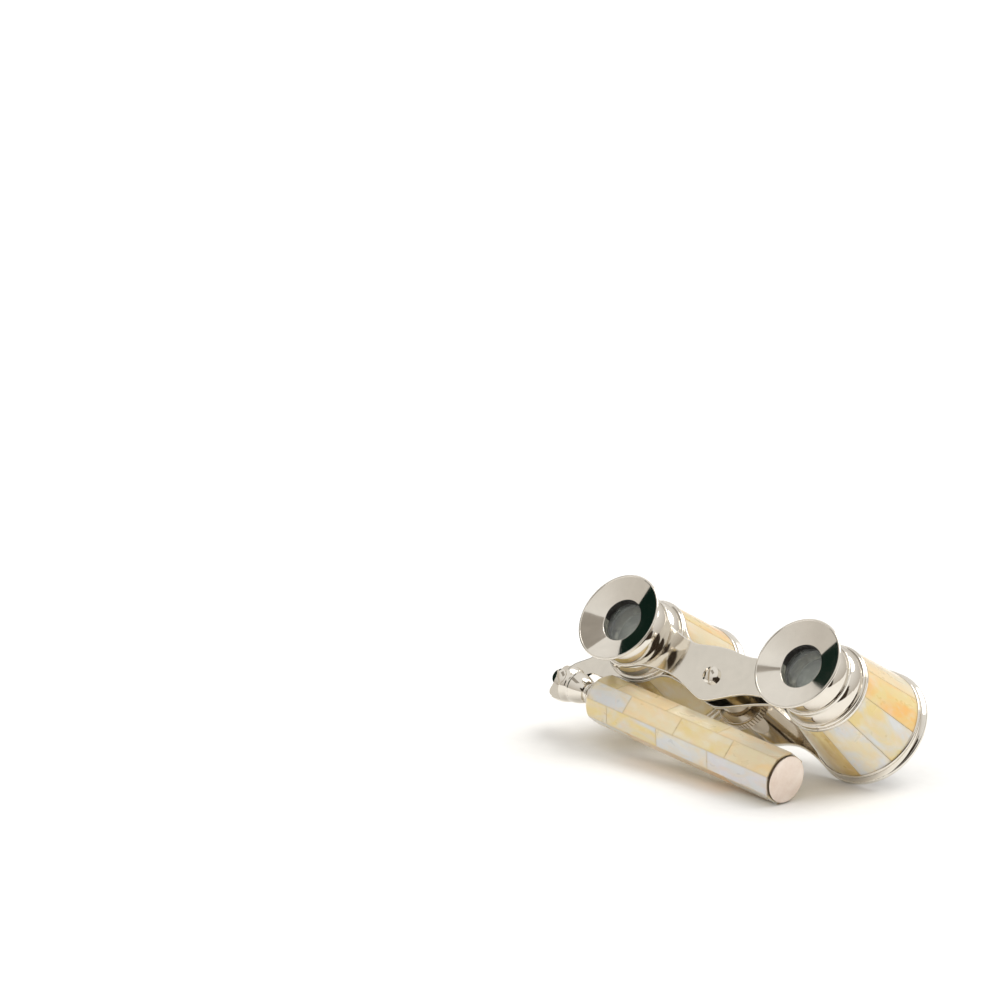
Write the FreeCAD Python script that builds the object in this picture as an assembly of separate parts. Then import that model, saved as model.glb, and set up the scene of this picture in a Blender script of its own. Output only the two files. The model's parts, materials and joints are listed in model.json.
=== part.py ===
"""Opera glasses with a folding side handle, clad in mother-of-pearl.

Every piece is drawn first in the glasses' own frame: x along the bridges, y across them,
z along the optical axes towards the eyes, with z = 0 near the front of the objective rims.
At the end each piece is leant forward by TILT, so that the glasses stand on the lower edges
of both objective rims and on the far end of the folded handle, and moved so that the origin
is the middle of the bottom of the whole object's box. Lengths are millimetres.
"""
import FreeCAD
import Part

import math
import os

from FreeCAD import Vector

# --- driving dimensions -------------------------------------------------------------------
EYE_SPACING = 62.0          # between the two optical axes
TILT = 53.4                 # lean of the optical axes from the vertical, degrees
COLUMN_Y = -6.5             # the focusing column stands this far in front of the optical axes

# bridges: underside and top of each plate, and the radius of its two rings
OBJECTIVE_PLATE = (-1.7, -0.5)
MIDDLE_PLATE = (22.4, 23.4)
EYE_PLATE = (28.2, 29.2)
OBJECTIVE_RING_R = 16.1
MIDDLE_RING_R = 12.15
EYE_RING_R = 10.45
RIM_ROUND = 0.5                 # rounding of the objective bridge's rim
PLATE_ROUND = 0.3               # rounding of the other two bridges
MIDDLE_BORE_R = 10.0            # holes of the middle bridge's rings

# fits: radial unless they say otherwise
RUNNING_FIT = 0.05              # what slides or turns in a bore
LOOSE_FIT = 0.3                 # where the spindle passes and isn't guided
SEAT_GAP = 0.02                 # between a seated piece and its seat
END_PLAY = 0.15                 # lengthwise, at the wheel and under the eyepiece bridge
CUT_PAST = 1.0                  # how far a cutting tool passes the face that it cuts

# screws
SCREW_SHANK_R = 1.18
SCREW_TAP_R = 1.2               # holes that the column's two screws bite in
SCREW_HOLE_R = 1.25             # holes that they pass through
SCREW_SLOT = 0.55
FLAT_HEAD_R = 2.2
FLAT_HEAD_DEPTH = 0.95
DOMED_HEAD = (2.35, 1.5)        # radius and height of the head on the eyepiece bridge
HINGE_HEAD = (2.2, 1.0)         # the same for the hinge screw
HINGE_PIN_R = 1.2

# barrels and their cladding
PEARL_TOP = (11.95, 22.34)      # radius and height of the cladding's upper edge
PEARL_BOTTOM = (15.0, 1.9)      # the same for its lower edge
PEARL_THICK = 1.1
PEARL_STRIPS = 10
FIRST_STRIP_ANGLES = {"left": -24.0, "right": -33.0}
BARREL_WALL = 0.8
JOINT_GAP = 0.06                # open line between two neighbouring pieces of pearl

# sliding tubes
DRAW_TUBE_R = 9.0
DRAW_TUBE_BORE_R = 8.35
DRAW_TUBE_BOTTOM = 9.5
SLEEVE_R = 9.9                  # the sleeve that guides it, under the collar
SLEEVE_BOTTOM = 16.5

# eyecups and eye lenses
CUP_RIM_R = 12.5
CUP_RIM_Z = 37.85
CUP_HOLE_R = 5.84
CUP_HOLE_Z = 35.8
CUP_BODY_R = 9.9
CUP_NECK_R = 9.0
CUP_SPIGOT = 2.6                # length of the spigot under the bridge's face
EYE_LENS_R = 7.2
EYE_LENS = (32.1, 33.8)
EYE_LENS_HOLLOW = (6.2, 0.5)    # radius and depth of the hollow in each face

# objective cells and lenses
CELL_R = 13.0
CELL_TOP = 4.4
CELL_LIP_R = 11.4
OBJECTIVE_LENS_R = 12.3
OBJECTIVE_LENS = (0.2, 3.6)
OBJECTIVE_CURVE_R = 11.1        # radius of the lens's curved part
OUTER_BULGE = 0.5
INNER_BULGE = 0.4

# focusing column
LOWER_TUBE_R = 4.1
UPPER_TUBE_R = 4.9
SPINDLE_R = 2.3
SPINDLE_BOTTOM = 2.4            # above the objective bridge's face, at rest
WHEEL_R = 7.2
WHEEL = (10.4, 14.6)
WHEEL_GROOVES = 54
GROOVE_HALF_WIDTH = 0.21
GROOVE_DEPTH = 0.3

# handle
PIVOT = (-50.2, -17.2, 23.2)    # where the hinge axis crosses the handle's axis
HANDLE_LENGTH = 82.9            # from the hinge axis to the face of the end cap
FACES = 8
FACE_STEP = 360.0 / FACES
OCTAGON_R = 6.93                # across the corners, halved
NOSE_BULGE = 0.6                # how far past the corners the nose's curve would run
TILE_NOSE_EASE = 0.1            # the tiles are this much thinner round the nose
TILE_THICK = 1.1
NOSE_R = 3.55                   # the grip's near end is rounded down to this radius
NOSE_LENGTH = 5.6
TILE_LENGTH = 19.05
TILE_FIRST_JOINTS = (28.5, 22.3)  # on the even and the odd faces, so that courses stagger
SHORTEST_TILE = 4.0
TILE_START = 11.3               # distance of the pearl's near end from the hinge axis
TILE_END = 82.0
FORK_SLOT = (-1.35, 0.75)       # the fork's slot, measured from the handle's axis
FORK_FLAT = 3.9                 # height of the upper jaw's flat over the handle's axis
JAW_TAB_R = 2.45                # the upper jaw's round tab
BALL_FACE = 1.5                 # from the hinge axis to the face where the ball is cut away
HANDLE_SWING = 125.0            # from folded to fully out, degrees
EAR_TIP_R = 2.5
WASHER_R = 2.3
KNUCKLE_END = 9.6               # far end of the knuckle's spigot, from the hinge axis
COLLAR_BORE_R = 1.6             # the collar and the end cap slip over the tie rod
TIE_ROD_R = 1.48
TIE_ROD_START = 6.3
CORE_BORE_R = 3.9
CAP_R = 6.2
CAP_PLUG = (3.85, 4.0)          # radius and length of the end cap's plug
CAP_FACE = 1.0                  # thickness of the end cap over the rod's end

SWING_LIMITS = (2.0, 15.0)      # the folded handle's angle is looked for between these

HALF = EYE_SPACING / 2.0
SIDES = {"left": -HALF, "right": HALF}


# --- small drawing helpers ----------------------------------------------------------------
def turned(start, *steps):
    """A solid of revolution about z. Points are (radius, height); a step of two points is an
    arc through the first of them that ends at the second."""
    here = Vector(start[0], 0, start[1])
    first = here
    edges = []
    for step in steps:
        if isinstance(step[0], tuple):
            middle = Vector(step[0][0], 0, step[0][1])
            there = Vector(step[1][0], 0, step[1][1])
            edges.append(Part.Arc(here, middle, there).toShape())
        else:
            there = Vector(step[0], 0, step[1])
            edges.append(Part.makeLine(here, there))
        here = there
    edges.append(Part.makeLine(here, first))
    face = Part.Face(Part.Wire(edges))
    return face.revolve(Vector(0, 0, 0), Vector(0, 0, 1), 360)


def tube(outer, inner, bottom, top):
    return turned((inner, bottom), (outer, bottom), (outer, top), (inner, top))


def disc(radius, bottom, top, x=0.0, y=0.0):
    return Part.makeCylinder(radius, top - bottom, Vector(x, y, bottom))


def spherical_cap(rim_radius, rim_height, rise):
    """A cap of a ball on the z axis, flat at its rim. Its middle is rise above the rim, or below
    it where rise is negative."""
    radius = (rim_radius ** 2 + rise ** 2) / (2.0 * abs(rise))
    middle = rim_height + rise
    centre = middle - math.copysign(radius, rise)
    ball = Part.makeSphere(radius, Vector(0, 0, centre))
    bottom, top = sorted((rim_height, middle + rise))
    return ball.common(disc(rim_radius + 1.0, bottom, top))


def prism(points, bottom, top):
    corners = [Vector(x, y, bottom) for x, y in points]
    face = Part.Face(Part.makePolygon(corners + corners[:1]))
    return face.extrude(Vector(0, 0, top - bottom))


def moved(shape, x, y=0.0, z=0.0):
    copy = shape.copy()
    copy.translate(Vector(x, y, z))
    return copy


def smooth(poles):
    """A smooth curve pulled towards the poles. It starts at the first and ends at the last."""
    curve = Part.BSplineCurve()
    curve.buildFromPoles([Vector(x, y, 0) for x, y in poles], False, 3)
    return curve.toShape()


def on_circle(centre, radius, degrees):
    angle = math.radians(degrees)
    return (centre[0] + radius * math.cos(angle), centre[1] + radius * math.sin(angle))


def arc(centre, radius, start, end):
    """The arc from one angle to another, through the angle midway between them."""
    stops = [on_circle(centre, radius, angle) for angle in (start, (start + end) / 2.0, end)]
    return Part.Arc(*[Vector(x, y, 0) for x, y in stops]).toShape()


def plate(edges, level, rounding):
    """A flat plate with the given closed outline, its rim rounded above and below."""
    face = Part.Face(Part.Wire(Part.__sortEdges__(edges)))
    face.translate(Vector(0, 0, level[0]))
    solid = face.extrude(Vector(0, 0, level[1] - level[0]))
    rims = [edge for edge in solid.Edges if abs(edge.BoundBox.ZLength) < 1e-6]
    return solid.makeFillet(rounding, rims)


# --- outlines of the three bridges --------------------------------------------------------
def past_ring(radius, angle, distance, centre=(HALF, 0)):
    """A point off a ring, on the tangent at the given angle. Distances are counted the way
    the angle grows."""
    x, y = on_circle(centre, radius, angle)
    turn = math.radians(angle)
    return (x - distance * math.sin(turn), y + distance * math.cos(turn))


def web_edge(radius, angle, lead, poles):
    """One long edge of a bridge, tangent to both rings. The poles are its right half, from the
    middle outwards, angle is where it meets the right ring, and lead sets how gently."""
    towards_web = -lead if angle > 180 else lead
    right = poles + [past_ring(radius, angle, towards_web), on_circle((HALF, 0), radius, angle)]
    left = [(-x, y) for x, y in reversed(right) if x > 0]
    return smooth(left + right)


def right_ring(radius, front_angle, back_angle):
    return arc((HALF, 0), radius, front_angle - 360, back_angle)


def finish_bridge(edges, level, rounding, ring_bore, column_bore):
    body = plate(edges, level, rounding)
    for x in SIDES.values():
        body = body.cut(disc(ring_bore, level[0] - CUT_PAST, level[1] + CUT_PAST, x))
    return body.cut(disc(column_bore, level[0] - CUT_PAST, level[1] + CUT_PAST, 0, COLUMN_Y))


def plain_bridge(radius, front, back, level, rounding, ring_bore):
    """Two rings joined by a waisted web. front and back give the angle at the right ring, the
    lead and the poles of the web's two edges."""
    edges = [web_edge(radius, *front), right_ring(radius, front[0], back[0]), web_edge(radius, *back),
             arc((-HALF, 0), radius, 180 - back[0], 540 - front[0])]
    return finish_bridge(edges, level, rounding, ring_bore, SCREW_HOLE_R)


def eyepiece_bridge():
    front = (248, 3.5, [(0, -13.9), (3.6, -12.6), (7.2, -11.0), (10.8, -9.4), (15.0, -8.6), (20.0, -8.45)])
    back = (140, 3.2, [(0, 1.85), (4.2, 1.7), (8.4, 0.85), (12.6, 1.4), (17.0, 2.7)])
    return plain_bridge(EYE_RING_R, front, back, EYE_PLATE, PLATE_ROUND, DRAW_TUBE_BORE_R)


def to_glasses(point, swing):
    """From the fork's flat coordinates, along the handle and back towards the barrels, to
    the glasses' frame, with the handle folded at the angle swing."""
    c = math.cos(math.radians(swing))
    s = math.sin(math.radians(swing))
    return (PIVOT[0] + point[0] * c + point[1] * s, PIVOT[1] - point[0] * s + point[1] * c)


def middle_bridge(swing):
    """As the other bridges, with an ear on its left ring that carries the handle. The ear has
    a round tip on the hinge axis, a leading edge that meets the end of the fork's slot when
    the handle is out, and a trailing edge that clears the folded handle."""
    front = (236, 4.0, [(0, -13.1), (3.2, -12.4), (6.4, -11.25), (9.6, -10.2), (13.0, -9.15), (17.0, -8.25)])
    back = (142, 3.5, [(0, 1.85), (4.2, 1.7), (8.4, 0.85), (12.4, 1.4), (16.3, 2.9)])
    radius = MIDDLE_RING_R
    ring = (-HALF, 0)
    leading_angle = 187
    trailing_angle = 270 - swing
    leading = [(4.4, 10.4), (0.8, 7.5), (-2.9, 4.9), (-2.6, 2.4), (-EAR_TIP_R, 0)]
    trailing = [on_circle((0, 0), EAR_TIP_R, -30), (3.4, 0.9), (4.5, 5.1), (7.4, 5.15), (9.6, 5.0),
                (11.6, 5.5), (13.4, 6.85)]
    tip = [to_glasses(on_circle((0, 0), EAR_TIP_R, angle), swing) for angle in (180, 255, 330)]
    edges = [
        web_edge(radius, *front),
        right_ring(radius, front[0], back[0]),
        web_edge(radius, *back),
        arc(ring, radius, 180 - back[0], leading_angle),
        smooth([on_circle(ring, radius, leading_angle), past_ring(radius, leading_angle, 2.6, ring)]
               + [to_glasses(p, swing) for p in leading]),
        Part.Arc(*[Vector(x, y, 0) for x, y in tip]).toShape(),
        smooth([to_glasses(p, swing) for p in trailing]
               + [past_ring(radius, trailing_angle, -2.0, ring), on_circle(ring, radius, trailing_angle)]),
        arc(ring, radius, trailing_angle, 540 - front[0])]
    body = finish_bridge(edges, MIDDLE_PLATE, PLATE_ROUND, MIDDLE_BORE_R, SPINDLE_R + LOOSE_FIT)
    bottom, top = MIDDLE_PLATE
    hinge_hole = disc(HINGE_PIN_R + RUNNING_FIT, bottom - CUT_PAST, top + CUT_PAST, PIVOT[0], PIVOT[1])
    return body.cut(hinge_hole)


def objective_bridge():
    front = (243, 3.5, [(0, -12.9), (4.0, -12.1), (8.0, -10.6), (12.0, -10.15), (16.2, -11.0)])
    back = (155, 3.1, [(0, 1.9), (4.0, 1.5), (8.0, 0.9), (12.2, 2.0)])
    bridge = plain_bridge(OBJECTIVE_RING_R, front, back, OBJECTIVE_PLATE, RIM_ROUND, CELL_R)
    face = OBJECTIVE_PLATE[0]
    countersink = turned((0, face), (FLAT_HEAD_R + 0.1, face), (SCREW_HOLE_R, face + FLAT_HEAD_DEPTH),
                         (0, face + FLAT_HEAD_DEPTH))
    return bridge.cut(moved(countersink, 0, COLUMN_Y))


# --- barrels ------------------------------------------------------------------------------
def cladding_radius(z):
    """Outer radius of the pearl at the height z: a straight cone."""
    slope = (PEARL_BOTTOM[0] - PEARL_TOP[0]) / (PEARL_TOP[1] - PEARL_BOTTOM[1])
    return PEARL_TOP[0] + (PEARL_TOP[1] - z) * slope


def cone_shell(outer_offset, thickness, bottom, top):
    low = cladding_radius(bottom) - outer_offset
    high = cladding_radius(top) - outer_offset
    return turned((low - thickness, bottom), (low, bottom), (high, top), (high - thickness, top))


def barrel_tube():
    shell = cone_shell(PEARL_THICK + SEAT_GAP, BARREL_WALL, OBJECTIVE_PLATE[1], MIDDLE_PLATE[0])
    return shell.cut(disc(CELL_R, OBJECTIVE_PLATE[0], CELL_TOP + SEAT_GAP))


def pearl_strips(first_angle):
    """Lengthwise strips of pearl round a barrel, with an open line between neighbours."""
    shell = cone_shell(0, PEARL_THICK, PEARL_BOTTOM[1], PEARL_TOP[1])
    step = 360.0 / PEARL_STRIPS
    half_step = math.radians(step / 2.0)
    back_off = JOINT_GAP / 2.0 / math.sin(half_step)
    reach = 2.0 * PEARL_BOTTOM[0]
    strips = []
    for number in range(PEARL_STRIPS):
        start = first_angle + number * step
        corners = [(0, 0), on_circle((0, 0), reach, 0), on_circle((0, 0), reach, step)]
        wedge = prism(corners, PEARL_BOTTOM[1] - CUT_PAST, PEARL_TOP[1] + CUT_PAST)
        wedge.translate(Vector(back_off * math.cos(half_step), back_off * math.sin(half_step), 0))
        wedge.rotate(Vector(0, 0, 0), Vector(0, 0, 1), start)
        strips += shell.common(wedge).Solids
    return Part.makeCompound(strips)


def objective_end_ring():
    """The polished moulding that closes the lower end of the pearl."""
    inner = cladding_radius(OBJECTIVE_PLATE[1]) - PEARL_THICK + 0.1
    return turned((inner, OBJECTIVE_PLATE[1]), (15.75, OBJECTIVE_PLATE[1]),
                  ((15.2, 0.3), (15.3, 1.2)), ((15.5, 1.65), (15.2, 2.05)),
                  (15.02, 2.05), (15.02, 1.86), (inner, 1.86))


def objective_cell():
    seat = OBJECTIVE_LENS_R + RUNNING_FIT
    bottom = OBJECTIVE_PLATE[0]
    shoulder = OBJECTIVE_LENS[1]
    outer = CELL_R - SEAT_GAP
    return turned((seat, bottom), (outer, bottom), (outer, CELL_TOP),
                  (CELL_LIP_R, CELL_TOP), (CELL_LIP_R, shoulder), (seat, shoulder))


def objective_retaining_ring():
    """A thin ring under the lens, with a notch on each side for the key that turns it."""
    bottom = OBJECTIVE_LENS[0] - 1.1
    top = OBJECTIVE_LENS[0] - SEAT_GAP
    outer = OBJECTIVE_LENS_R
    ring = turned((outer, bottom), (outer, top), (11.5, top), (11.2, bottom + 0.5), (11.35, bottom))
    notch_width = 0.8
    notch_depth = 0.45
    notch = Part.makeBox(4 * outer, notch_width, notch_depth, Vector(-2 * outer, -notch_width / 2, bottom))
    return ring.cut(notch)


def objective_lens():
    """A weak convex lens, its stronger curve facing out."""
    low = OBJECTIVE_LENS[0] + SEAT_GAP
    high = OBJECTIVE_LENS[1] - SEAT_GAP
    edge = disc(OBJECTIVE_LENS_R, low, high)
    outer_curve = spherical_cap(OBJECTIVE_CURVE_R, low, -OUTER_BULGE)
    inner_curve = spherical_cap(OBJECTIVE_CURVE_R, high, INNER_BULGE)
    return edge.fuse(outer_curve).fuse(inner_curve).removeSplitter()


def guide_collar():
    """The convex collar on the middle bridge, with the sleeve that the draw tube slides in."""
    bore = DRAW_TUBE_R + RUNNING_FIT
    seat = MIDDLE_PLATE[1]
    top = EYE_PLATE[0] - END_PLAY
    return turned((bore, SLEEVE_BOTTOM), (SLEEVE_R, SLEEVE_BOTTOM), (SLEEVE_R, seat), (11.6, seat),
                  ((11.8, seat + 0.4), (11.55, seat + 0.8)), (11.1, seat + 0.9), (11.1, seat + 1.15),
                  ((10.95, seat + 3.0), (9.95, top)), (bore + 0.25, top), (bore, top - 0.25))


# --- eyepieces ----------------------------------------------------------------------------
def draw_tube():
    top = EYE_PLATE[0]
    return turned((DRAW_TUBE_BORE_R, DRAW_TUBE_BOTTOM), (DRAW_TUBE_R - 0.2, DRAW_TUBE_BOTTOM),
                  (DRAW_TUBE_R, DRAW_TUBE_BOTTOM + 0.3), (DRAW_TUBE_R, top), (DRAW_TUBE_BORE_R, top))


def eyecup():
    """One turned piece: a spigot, a full body drawn in to a neck, and a trumpet that opens to
    the dished rim."""
    spigot = DRAW_TUBE_BORE_R - 0.03
    seat = EYE_PLATE[1]
    bottom = seat - CUP_SPIGOT
    lens_bore = EYE_LENS_R + RUNNING_FIT
    shoulder = EYE_LENS[1] + SEAT_GAP
    return turned((lens_bore, bottom), (spigot, bottom), (spigot, seat), (CUP_BODY_R, seat),
                  ((CUP_BODY_R + 0.02, seat + 2.0), (CUP_NECK_R, seat + 4.1)),
                  ((CUP_NECK_R + 0.4, seat + 5.5), (CUP_RIM_R - 0.35, CUP_RIM_Z - 0.75)),
                  ((CUP_RIM_R, CUP_RIM_Z - 0.4), (CUP_RIM_R - 0.25, CUP_RIM_Z - 0.03)),
                  ((CUP_RIM_R - 0.4, CUP_RIM_Z), (CUP_RIM_R - 0.6, CUP_RIM_Z - 0.1)),
                  (CUP_HOLE_R + 0.25, CUP_HOLE_Z),
                  ((CUP_HOLE_R + 0.07, CUP_HOLE_Z - 0.07), (CUP_HOLE_R, CUP_HOLE_Z - 0.25)),
                  (CUP_HOLE_R, shoulder), (lens_bore, shoulder))


def eye_lens():
    """A concave lens, hollow on both sides."""
    low, high = EYE_LENS
    radius, depth = EYE_LENS_HOLLOW
    edge = disc(EYE_LENS_R, low, high)
    return edge.cut(spherical_cap(radius, low, depth)).cut(spherical_cap(radius, high, -depth))


def eye_lens_ring():
    low = EYE_LENS[0] - 1.0
    high = EYE_LENS[0] - SEAT_GAP
    return turned((6.4, low), (EYE_LENS_R, low), (EYE_LENS_R, high), (6.1, high))


# --- focusing column ----------------------------------------------------------------------
def column_lower_tube():
    base = OBJECTIVE_PLATE[1]
    top = WHEEL[0] - END_PLAY
    body = turned((0, base), (LOWER_TUBE_R, base), (LOWER_TUBE_R, top), (0, top))
    body = body.cut(disc(SPINDLE_R + LOOSE_FIT, base + SPINDLE_BOTTOM - 0.2, top + CUT_PAST))
    body = body.cut(disc(SCREW_TAP_R, base - CUT_PAST, base + 1.6))
    return moved(body, 0, COLUMN_Y)


def column_upper_tube():
    bottom = WHEEL[1] + END_PLAY
    top = MIDDLE_PLATE[0]
    bore = SPINDLE_R + LOOSE_FIT
    chamfer = 0.3
    body = turned((bore, bottom), (UPPER_TUBE_R - chamfer, bottom), (UPPER_TUBE_R, bottom + chamfer),
                  (UPPER_TUBE_R, top), (bore, top))
    return moved(body, 0, COLUMN_Y)


def focus_wheel():
    """The finger wheel: a domed disc with straight grooves cut all round its rim."""
    low, high = WHEEL
    bore = SPINDLE_R + RUNNING_FIT
    body = turned((bore, low), (UPPER_TUBE_R - 0.4, low), (WHEEL_R - 0.7, low + 0.55),
                  ((WHEEL_R - 0.15, low + 0.75), (WHEEL_R, low + 1.1)), (WHEEL_R, high - 1.1),
                  ((WHEEL_R - 0.15, high - 0.75), (WHEEL_R - 0.7, high - 0.55)),
                  (UPPER_TUBE_R + 0.1, high), (bore, high))
    outside = WHEEL_R + 0.1
    groove = prism([(WHEEL_R - GROOVE_DEPTH, 0), (outside, -GROOVE_HALF_WIDTH), (outside, GROOVE_HALF_WIDTH)],
                   low - CUT_PAST, high + CUT_PAST)
    grooves = []
    for number in range(WHEEL_GROOVES):
        copy = groove.copy()
        copy.rotate(Vector(0, 0, 0), Vector(0, 0, 1), number * 360.0 / WHEEL_GROOVES)
        grooves.append(copy)
    return moved(body.cut(Part.makeCompound(grooves)), 0, COLUMN_Y)


def focus_spindle():
    """The rod that hangs from the eyepiece bridge down through the column."""
    bottom = OBJECTIVE_PLATE[1] + SPINDLE_BOTTOM
    top = EYE_PLATE[0]
    chamfer = 0.4
    body = turned((0, bottom), (SPINDLE_R - chamfer, bottom), (SPINDLE_R, bottom + chamfer), (SPINDLE_R, top),
                  (0, top))
    body = body.cut(disc(SCREW_TAP_R, top - 4.0, top + CUT_PAST))
    return moved(body, 0, COLUMN_Y)


def slotted_screw(head_r, head_height, shank_r, shank_length, slot_angle):
    """A domed screw, its head standing on z = 0 and its shank going down from there."""
    rise = head_height * 0.45
    chamfer = 0.15
    body = turned((0, -shank_length), (shank_r - chamfer, -shank_length), (shank_r, chamfer - shank_length),
                  (shank_r, 0), (head_r, 0), (head_r, head_height - rise),
                  ((head_r * 0.62, head_height - rise * 0.3), (0, head_height)))
    slot = Part.makeBox(4 * head_r, SCREW_SLOT, head_height,
                        Vector(-2 * head_r, -SCREW_SLOT / 2, head_height * 0.42))
    slot.rotate(Vector(0, 0, 0), Vector(0, 0, 1), slot_angle)
    return body.cut(slot)


def bridge_screw():
    return moved(slotted_screw(*DOMED_HEAD, SCREW_SHANK_R, 4.6, -70), 0, COLUMN_Y, EYE_PLATE[1])


def column_screw():
    """A countersunk screw, its flat head just under the front face of the objective bridge."""
    face = 0.05
    length = 2.7
    slot_depth = 0.5
    screw = turned((0, face), (FLAT_HEAD_R, face), (SCREW_SHANK_R, FLAT_HEAD_DEPTH), (SCREW_SHANK_R, length),
                   (0, length))
    slot = Part.makeBox(4 * FLAT_HEAD_R, SCREW_SLOT, slot_depth, Vector(-2 * FLAT_HEAD_R, -SCREW_SLOT / 2, 0))
    slot.rotate(Vector(0, 0, 0), Vector(0, 0, 1), 20)
    return moved(screw.cut(slot), 0, COLUMN_Y, OBJECTIVE_PLATE[0])


# --- handle, drawn along +x from the hinge axis, with z along the hinge ---------------------
def turned_along_handle(start, *steps):
    """A solid of revolution about the handle's axis. Points are (distance, radius)."""
    flipped = [tuple((q[1], q[0]) for q in step) if isinstance(step[0], tuple) else (step[1], step[0])
               for step in steps]
    body = turned((start[1], start[0]), *flipped)
    body.rotate(Vector(0, 0, 0), Vector(0, 1, 0), 90)
    return body


def handle_knuckle():
    """The turned fork: a ball, a waist, a rounded shoulder and a neck. Its upper jaw is cut back
    to a round tab under the hinge screw, and its lower jaw keeps the whole ball."""
    body = turned_along_handle((-6.1, 0), (-6.1, 3.3), ((-5.6, 4.35), (-4.4, 4.85)),
                               ((-0.7, 5.4), (2.9, 4.45)), ((3.6, 4.15), (4.3, 4.25)),
                               ((6.6, 3.75), (8.4, 2.95)), (8.4, 2.6), (KNUCKLE_END, 2.6), (KNUCKLE_END, 0))
    over_jaw = Part.makeBox(9.0 + BALL_FACE, 14.0, 8.0, Vector(-9.0, -7.0, FORK_SLOT[1]))
    tab = disc(JAW_TAB_R, FORK_SLOT[1], FORK_FLAT)
    head_room = disc(JAW_TAB_R + 0.05, FORK_FLAT, FORK_FLAT + 4.0)
    body = body.cut(over_jaw).fuse(tab).cut(head_room).cut(fork_slot())
    body = body.cut(disc(HINGE_PIN_R, -8, 8))
    rod_hole = Part.makeCylinder(TIE_ROD_R + SEAT_GAP, 4.0, Vector(TIE_ROD_START - 0.1, 0, 0),
                                 Vector(1, 0, 0))
    return body.cut(rod_hole)


def fork_slot():
    """Room for the ear: open at the fork's end and on the side of the barrels. On the other
    side it ends in a face that the ear's leading edge meets when the handle is fully out."""
    stop_turn = math.radians(HANDLE_SWING + 2.0)
    stop = []
    for x, y in [(-EAR_TIP_R - 0.2, 0.0), (-EAR_TIP_R - 0.45, 8.0)]:
        stop.append((x * math.cos(stop_turn) - y * math.sin(stop_turn),
                     x * math.sin(stop_turn) + y * math.cos(stop_turn)))
    points = [stop[0], (EAR_TIP_R + 0.3, -1.0), (5.75, 4.6), (5.9, 7.0), (-9.0, 7.0), (-9.0, -7.0), stop[1]]
    return prism(points, *FORK_SLOT).fuse(disc(EAR_TIP_R + 0.35, *FORK_SLOT))


def handle_pivot_screw():
    shank = FORK_FLAT * 2 + 0.3
    return moved(slotted_screw(*HINGE_HEAD, HINGE_PIN_R, shank, -47), 0, 0, FORK_FLAT)


def handle_washers():
    """Two thin washers that fill the slot above and below the ear."""
    ear = (MIDDLE_PLATE[0] - PIVOT[2], MIDDLE_PLATE[1] - PIVOT[2])
    bore = HINGE_PIN_R + RUNNING_FIT
    lower = tube(WASHER_R, bore, FORK_SLOT[0] + SEAT_GAP, ear[0] - RUNNING_FIT)
    upper = tube(WASHER_R, bore, ear[1] + RUNNING_FIT, FORK_SLOT[1] - SEAT_GAP)
    return Part.makeCompound([lower, upper])


def handle_collar():
    """Two thin beads between the neck and the pearl."""
    start = KNUCKLE_END + SEAT_GAP
    end = TILE_START - SEAT_GAP
    return turned_along_handle((start, COLLAR_BORE_R), (start, 2.85), ((9.95, 3.15), (10.28, 2.85)),
                               (10.42, 2.7), (10.5, 2.95), ((10.9, 3.4), (end, 3.25)), (end, COLLAR_BORE_R))


def octagonal_bar(corner_radius, start, end, nose_radius, nose_length):
    """An eight-sided bar whose near end is rounded down to nose_radius."""
    corners = [on_circle((0, 0), corner_radius, FACE_STEP * (k + 0.5)) for k in range(FACES)]
    points = [Vector(start, y, z) for y, z in corners]
    face = Part.Face(Part.makePolygon(points + points[:1]))
    bar = face.extrude(Vector(end - start, 0, 0))
    full = corner_radius + NOSE_BULGE
    nose = turned_along_handle((start, 0), (start, nose_radius),
                               ((start + nose_length * 0.46, nose_radius + (full - nose_radius) * 0.6),
                                (start + nose_length, full)),
                               (end, full), (end, 0))
    return bar.common(nose)


def handle_core():
    """The eight-sided brass tube that the tiles are bonded to."""
    inner_r = OCTAGON_R - TILE_THICK - SEAT_GAP
    nose_r = NOSE_R - TILE_THICK + TILE_NOSE_EASE - SEAT_GAP
    body = octagonal_bar(inner_r, TILE_START, TILE_END, nose_r, NOSE_LENGTH)
    bore = Part.makeCylinder(CORE_BORE_R, TILE_END - TILE_START, Vector(TILE_START + 2.5, 0, 0),
                             Vector(1, 0, 0))
    rod_hole = Part.makeCylinder(TIE_ROD_R + RUNNING_FIT, 8.0, Vector(TILE_START - CUT_PAST, 0, 0),
                                 Vector(1, 0, 0))
    return body.cut(bore).cut(rod_hole)


def tile_joints(face):
    """Where one face's tiles are cut: both ends, and the joints between tiles of one length."""
    cuts = [TILE_START - CUT_PAST]
    joint = TILE_FIRST_JOINTS[face % 2]
    while joint < TILE_END - SHORTEST_TILE:
        cuts.append(joint)
        joint += TILE_LENGTH
    return cuts + [TILE_END + CUT_PAST]


def tile_wedge(face, low, high):
    """The sector of the grip that holds one tile, drawn back from its neighbours by half a joint."""
    half_angle = math.radians(FACE_STEP / 2.0)
    back_off = JOINT_GAP / 2.0 / math.sin(half_angle)
    reach = 2.0 * OCTAGON_R
    rise = reach * math.tan(half_angle)
    start = low + JOINT_GAP / 2
    section = [Vector(start, back_off, 0), Vector(start, back_off + reach, -rise),
               Vector(start, back_off + reach, rise)]
    wedge = Part.Face(Part.makePolygon(section + section[:1]))
    wedge = wedge.extrude(Vector(high - low - JOINT_GAP, 0, 0))
    wedge.rotate(Vector(0, 0, 0), Vector(1, 0, 0), FACE_STEP * face)
    return wedge


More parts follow.
